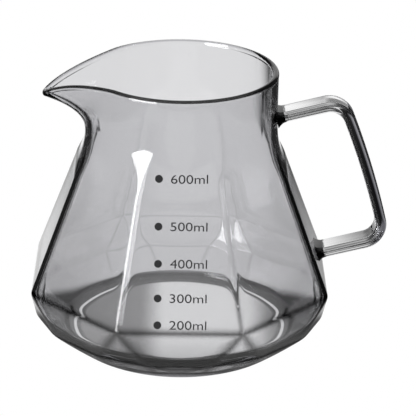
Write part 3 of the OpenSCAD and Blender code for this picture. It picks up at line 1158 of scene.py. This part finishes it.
@dataclass
class Studio:
    """Camera, floor, lamp and surroundings.

    Lengths are in metres and angles in degrees. Levels are linear, with 1 as plain white. A
    pair of lengths is where an easing starts and ends. The pairs of the surroundings, from
    backdrop_y to front_y, are parts of a unit direction instead.
    """

    eye: tuple[float, float, float] = (-0.004563, -0.819519, 0.396713)
    yaw: float = 1.0936
    pitch: float = 22.6732
    roll: float = 1.0878
    focal_px: float = 2202.0
    frame_px: int = 416
    sensor: float = 36.0
    clip: tuple[float, float] = (0.05, 20.0)
    floor_size: float = 4.0
    floor_gap: float = 0.0004
    floor_colour: str = "#f2f2f2"
    lane_x: float = -0.007
    lane_half: float = 0.083
    lane_soft: float = 0.018
    shade_wide: float = 1.2
    shade_ahead: float = 0.005
    shade: float = 0.13
    shade_r: float = 0.056
    shade_soft: tuple[float, float] = (0.004, 0.005)
    under: float = 1.0
    under_side: float = 0.31
    under_front: float = 0.68
    under_front_y: tuple[float, float] = (-0.035, -0.005)
    under_r: tuple[float, float] = (0.0385, 0.0405)
    under_x: float = 0.011
    under_half: float = 0.022
    under_soft: float = 0.006
    leak_r: float = 0.0415
    leak_soft: tuple[float, float] = (0.0004, 0.0009)
    leak_x: tuple[float, float] = (0.018, 0.028)
    dark: float = 0.03
    room: float = 0.08
    ceiling: float = 0.6
    side: float = 0.25
    front: float = 0.5
    front_floor: float = 0.4
    front_floor_y: tuple[float, float] = (-0.16, -0.08)
    backdrop: float = 0.9
    backdrop_y: tuple[float, float] = (0.80, 0.92)
    ceiling_z: tuple[float, float] = (0.55, 0.85)
    side_x: tuple[float, float] = (-0.95, -0.80)
    front_y: tuple[float, float] = (-0.92, -0.80)
    box_place: tuple[float, float, float] = (-0.2545, -0.2565, 0.16)
    box_size: tuple[float, float] = (0.20, 0.27)
    box_watts: float = 2.1

    def camera(self) -> None:
        """Stand the camera where the photograph was taken from."""
        yaw, pitch, roll = (math.radians(a) for a in (self.yaw, self.pitch, self.roll))
        level = math.cos(pitch)
        ahead = Vector((math.sin(yaw) * level, math.cos(yaw) * level, -math.sin(pitch)))
        right = Vector((math.cos(yaw), -math.sin(yaw), 0.0))
        up = right.cross(ahead)
        right_rolled = right * math.cos(roll) + up * math.sin(roll)
        up_rolled = up * math.cos(roll) - right * math.sin(roll)
        turned = Matrix((right_rolled, up_rolled, -ahead)).transposed().to_4x4()
        data = bpy.data.cameras.new("camera")
        data.sensor_width = self.sensor
        data.lens = self.focal_px * self.sensor / self.frame_px
        data.clip_start, data.clip_end = self.clip
        eye = bpy.data.objects.new("camera", data)
        eye.matrix_world = Matrix.Translation(self.eye) @ turned
        bpy.context.scene.collection.objects.link(eye)
        bpy.context.scene.camera = eye

    def ease(
        self, tree: bpy.types.NodeTree, value: bpy.types.NodeSocket,
        span: tuple[float, float], levels: tuple[float, float],
    ) -> bpy.types.NodeSocket:
        """Ease from one level to another as a value grows.

        Args:
            tree: where the node goes.
            value: the socket that drives it.
            span: values at which the easing starts and ends.
            levels: level up to the start, and level from the end on.

        Returns:
            The socket of the level.
        """
        return add_node(
            tree, "ShaderNodeMapRange",
            {"Value": value, "From Min": span[0], "From Max": span[1],
             "To Min": levels[0], "To Max": levels[1]},
            interpolation_type="SMOOTHSTEP",
        ).outputs[0]

    def reckon(
        self, tree: bpy.types.NodeTree, operation: str, *values: bpy.types.NodeSocket | float
    ) -> bpy.types.NodeSocket:
        """Reckon with two values or more, from the first to the last.

        Args:
            tree: where the nodes go.
            operation: what is done with each pair.
            *values: sockets or numbers.

        Returns:
            The socket of the result.
        """
        result = values[0]
        for value in values[1:]:
            result = add_node(
                tree, "ShaderNodeMath", {0: result, 1: value}, operation=operation
            ).outputs[0]
        return result

    def away_from(
        self, tree: bpy.types.NodeTree, value: bpy.types.NodeSocket, middle: float
    ) -> bpy.types.NodeSocket:
        """Return the socket of how far a value lies from a middle, on either side."""
        return self.reckon(tree, "ABSOLUTE", self.reckon(tree, "SUBTRACT", value, middle), 0.0)

    def lit(self, tree: bpy.types.NodeTree, place: bpy.types.NodeSocket) -> bpy.types.NodeSocket:
        """Level of the open floor: a lane that runs behind the object, less the object's shade.

        Args:
            tree: where the nodes go.
            place: the socket of the place on the floor.

        Returns:
            The socket of the level.
        """
        axis = add_node(tree, "ShaderNodeSeparateXYZ", {0: place})
        lane = self.ease(
            tree, self.away_from(tree, axis.outputs["X"], self.lane_x),
            (self.lane_half - self.lane_soft, self.lane_half + self.lane_soft), (1.0, self.dark),
        )
        ahead = self.ease(tree, axis.outputs["Y"], self.front_floor_y, (self.front_floor, 1.0))
        oval = add_node(
            tree, "ShaderNodeVectorMath",
            {0: place, 1: (1 / self.shade_wide, 1, 1), 2: (0, self.shade_ahead, 0)},
            operation="MULTIPLY_ADD",
        )
        oval = add_node(tree, "ShaderNodeVectorMath", {0: oval.outputs[0]}, operation="LENGTH")
        inner, outer = self.shade_soft
        shade = self.ease(
            tree, oval.outputs["Value"], (self.shade_r - inner, self.shade_r + outer),
            (self.shade, 1.0),
        )
        return self.reckon(tree, "MULTIPLY", lane, ahead, shade)

    def below(self, tree: bpy.types.NodeTree, place: bpy.types.NodeSocket) -> bpy.types.NodeSocket:
        """Level of the floor under the base: a lit patch, and a thin bright ring at its sides.

        Args:
            tree: where the nodes go.
            place: the socket of the place on the floor.

        Returns:
            The socket of the level.
        """
        axis = add_node(tree, "ShaderNodeSeparateXYZ", {0: place})
        away = add_node(tree, "ShaderNodeVectorMath", {0: place}, operation="LENGTH")
        away = away.outputs["Value"]
        patch = self.ease(
            tree, self.away_from(tree, axis.outputs["X"], self.under_x),
            (self.under_half - self.under_soft, self.under_half + self.under_soft),
            (self.under, self.under_side),
        )
        disc = self.ease(tree, away, self.under_r, (1.0, 0.0))
        front = self.ease(
            tree, axis.outputs["Y"], self.under_front_y, (self.under_front, 1.0)
        )
        disc = self.reckon(tree, "MULTIPLY", disc, front)
        ring = self.ease(
            tree, self.away_from(tree, away, self.leak_r), self.leak_soft, (self.under, 0.0)
        )
        aside = self.away_from(tree, axis.outputs["X"], 0.0)
        ring = self.reckon(
            tree, "MULTIPLY", ring, self.ease(tree, aside, self.leak_x, (0.0, 1.0))
        )
        return self.reckon(
            tree, "MAXIMUM", self.reckon(tree, "MULTIPLY", disc, patch), ring
        )

    def floor(self) -> None:
        """Lay a white table under the object.

        Seen straight it is plain white. Rays through the glass and off its gloss meet set
        levels: a lit lane behind the object with dark sides, an oval for the object's shade,
        and a lit patch and a thin ring under the clear base.
        """
        deselect()
        bpy.ops.mesh.primitive_plane_add(size=self.floor_size, location=(0, 0, -self.floor_gap))
        floor = bpy.context.object
        floor.name = "floor"
        bpy.ops.object.transform_apply(location=True, rotation=True, scale=True)
        material, tree = bare_material("white_table")
        path = add_node(tree, "ShaderNodeLightPath")
        place = add_node(tree, "ShaderNodeTexCoord").outputs["Object"]
        level = self.reckon(tree, "MAXIMUM", self.lit(tree, place), self.below(tree, place))
        straight = add_node(
            tree, "ShaderNodeMix",
            {0: path.outputs["Is Camera Ray"], 2: level, 3: 1.0}, data_type="FLOAT",
        )
        seen = self.reckon(
            tree, "MAXIMUM", path.outputs["Is Transmission Ray"],
            path.outputs["Is Glossy Ray"], path.outputs["Is Camera Ray"],
        )
        matt = add_node(tree, "ShaderNodeBsdfDiffuse", {"Color": linear(self.floor_colour)})
        glow = add_node(
            tree, "ShaderNodeEmission", {"Color": WHITE, "Strength": straight.outputs[0]}
        )
        mix = add_node(
            tree, "ShaderNodeMixShader", {0: seen, 1: matt.outputs[0], 2: glow.outputs[0]}
        )
        add_node(tree, "ShaderNodeOutputMaterial", {"Surface": mix.outputs[0]})
        floor.data.materials.append(material)

    def surroundings(self) -> None:
        """White backdrop behind the object, a dark room elsewhere, plain light on matt things.

        The glass also shows a pale ceiling and two dim walls, to the left and in front.
        """
        world = bpy.data.worlds.new("studio")
        bpy.context.scene.world = world
        world.use_nodes = True
        tree = world.node_tree
        tree.nodes.clear()
        path = add_node(tree, "ShaderNodeLightPath")
        place = add_node(tree, "ShaderNodeTexCoord")
        axis = add_node(tree, "ShaderNodeSeparateXYZ", {0: place.outputs["Generated"]})
        backdrop = self.ease(tree, axis.outputs["Y"], self.backdrop_y, (0.0, self.backdrop))
        sky = self.ease(tree, axis.outputs["Z"], self.ceiling_z, (self.room, self.ceiling))
        left = self.ease(tree, axis.outputs["X"], self.side_x, (self.side, 0.0))
        front = self.ease(tree, axis.outputs["Y"], self.front_y, (self.front, 0.0))
        dim = self.reckon(tree, "MAXIMUM", backdrop, left, sky, front)
        seen = self.reckon(
            tree, "MAXIMUM", path.outputs["Is Transmission Ray"], path.outputs["Is Glossy Ray"]
        )
        level = add_node(tree, "ShaderNodeMix", {0: seen, 2: 1.0, 3: dim}, data_type="FLOAT")
        back = add_node(
            tree, "ShaderNodeBackground", {"Color": WHITE, "Strength": level.outputs[0]}
        )
        add_node(tree, "ShaderNodeOutputWorld", {"Surface": back.outputs[0]})

    def softbox(self, body: bpy.types.Object) -> None:
        """Stand a soft rectangular lamp in front, to the left, for the body's long highlight.

        Args:
            body: the one piece that it reaches.
        """
        data = bpy.data.lights.new("softbox", "AREA")
        data.shape = "RECTANGLE"
        data.size, data.size_y = self.box_size
        data.energy = self.box_watts
        lamp = bpy.data.objects.new("softbox", data)
        place = Vector(self.box_place)
        facing = Vector((place.x, place.y, 0.0)).to_track_quat("Z", "Y").to_matrix()
        lamp.matrix_world = Matrix.Translation(place) @ facing.to_4x4()
        bpy.context.scene.collection.objects.link(lamp)
        reached = bpy.data.collections.new("reached_by_softbox")
        reached.objects.link(body)
        lamp.light_linking.receiver_collection = reached

    def build(self, body: bpy.types.Object) -> None:
        """Set up the whole studio.

        Args:
            body: the glass body, which the soft lamp reaches.
        """
        self.camera()
        self.floor()
        self.surroundings()
        self.softbox(body)
        bpy.context.scene.view_settings.view_transform = "Standard"


def main() -> None:
    """Build every piece in order, then the studio."""
    logging.basicConfig(level=logging.INFO, format="%(name)s: %(message)s")
    low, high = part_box("glass_body")
    body = BlownBody(rim_z=high.z / MM, girdle_r=high.y / MM)
    # Blown and pressed, then fire polished: a thin smoky film, made nearly black along the edges
    # by painted shade.
    smoked = Glass(
        "smoked_borosilicate", tint="#e6e6e8", density=25.0, film="#c9c9cc", edge="#060606"
    )
    # Drawn and bent clear bar: the arms show the backdrop, and the grip's outer side gets a dark
    # film of painted shade.
    bar = Glass(
        "clear_borosilicate_bar", tint="#e6e8ec", density=10.0, film="#66666c", edge="#66666c"
    )
    # Glass melted on by hand, given a near-black film and a dense dark tint, so that it looks
    # black.
    fused = Glass("dark_fused_glass", tint="#101010", density=1500.0, film="#1e1e1e")
    blown = body.build(smoked.material())
    Handle().build(body, bar.material(), fused.material())
    VolumeScale().build(body, Enamel().material())
    Studio().build(blown)


if __name__ == "__main__":
    main()
